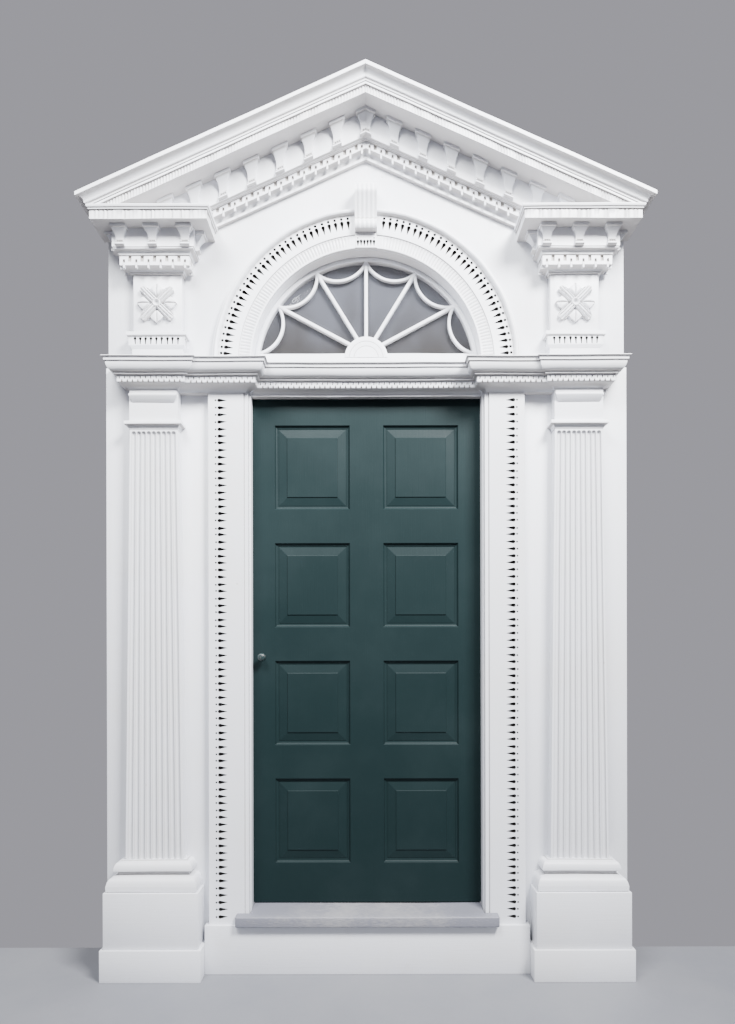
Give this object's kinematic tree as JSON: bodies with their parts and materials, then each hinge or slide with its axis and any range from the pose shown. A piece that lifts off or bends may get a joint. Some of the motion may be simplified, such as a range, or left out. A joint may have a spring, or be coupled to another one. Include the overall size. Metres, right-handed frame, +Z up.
{
  "type": "pedimented doorway surround with door",
  "caption": "Painted wooden doorway: fluted pilasters, carved architraves, arched fanlight and raking pediment on modillions round an inward-opening panelled door.",
  "frame": {"origin": "middle of the outer box at floor level, under the middle of the doorway", "axes": "+Z up, -Y out of the front of the doorway, +X to the right for someone who faces its front"},
  "size_m": [2.32, 0.335, 3.7029],
  "materials": {
    "white_paint": "pine under many coats of white oil paint, satin",
    "grey_paint": "worn grey paint on a wooden sill",
    "green_paint": "dark blue-green oil paint, satin",
    "window_glass": "clear flat glass",
    "painted_iron": "iron painted dark"
  },
  "bodies": {
    "surround": {"left_wall_board": "white_paint", "right_wall_board": "white_paint", "tympanum_board": "white_paint", "base_board": "white_paint", "left_jamb": "white_paint", "right_jamb": "white_paint", "door_head": "white_paint", "sill": "grey_paint", "left_plinth_foot": "white_paint", "right_plinth_foot": "white_paint", "left_plinth": "white_paint", "right_plinth": "white_paint", "left_pilaster_base": "white_paint", "right_pilaster_base": "white_paint", "left_pilaster_shaft": "white_paint", "right_pilaster_shaft": "white_paint", "left_pilaster_neck": "white_paint", "right_pilaster_neck": "white_paint", "left_architrave": "white_paint", "right_architrave": "white_paint", "left_outer_impost": "white_paint", "right_outer_impost": "white_paint", "left_inner_impost": "white_paint", "right_inner_impost": "white_paint", "transom_impost": "white_paint", "arch_reveal": "white_paint", "left_archivolt": "white_paint", "right_archivolt": "white_paint", "keystone": "white_paint", "fanlight_sash": "white_paint", "fanlight_glass": "window_glass", "left_frieze_foot": "white_paint", "right_frieze_foot": "white_paint", "left_frieze_block": "white_paint", "right_frieze_block": "white_paint", "left_rosette": "white_paint", "right_rosette": "white_paint", "left_block_bed": "white_paint", "right_block_bed": "white_paint", "left_block_modillions": "white_paint", "right_block_modillions": "white_paint", "left_block_corona": "white_paint", "right_block_corona": "white_paint", "left_raking_cornice": "white_paint", "right_raking_cornice": "white_paint", "left_raking_modillions": "white_paint", "right_raking_modillions": "white_paint", "left_raking_dentils": "white_paint", "right_raking_dentils": "white_paint", "apex_modillion": "white_paint", "lower_hinge_jamb_half": "painted_iron", "upper_hinge_jamb_half": "painted_iron"},
    "door": {"door_leaf": "green_paint", "outer_knob": "painted_iron", "inner_knob": "painted_iron", "lower_hinge_door_half": "painted_iron", "upper_hinge_door_half": "painted_iron"}
  },
  "joints": [
    {"name": "door_hinge", "type": "hinge", "parent": "surround", "child": "door", "pos_m": [0.5005, 0.1288, 1.352], "axis": [0, 0, -1], "range_deg": [0, 100]}
  ]
}
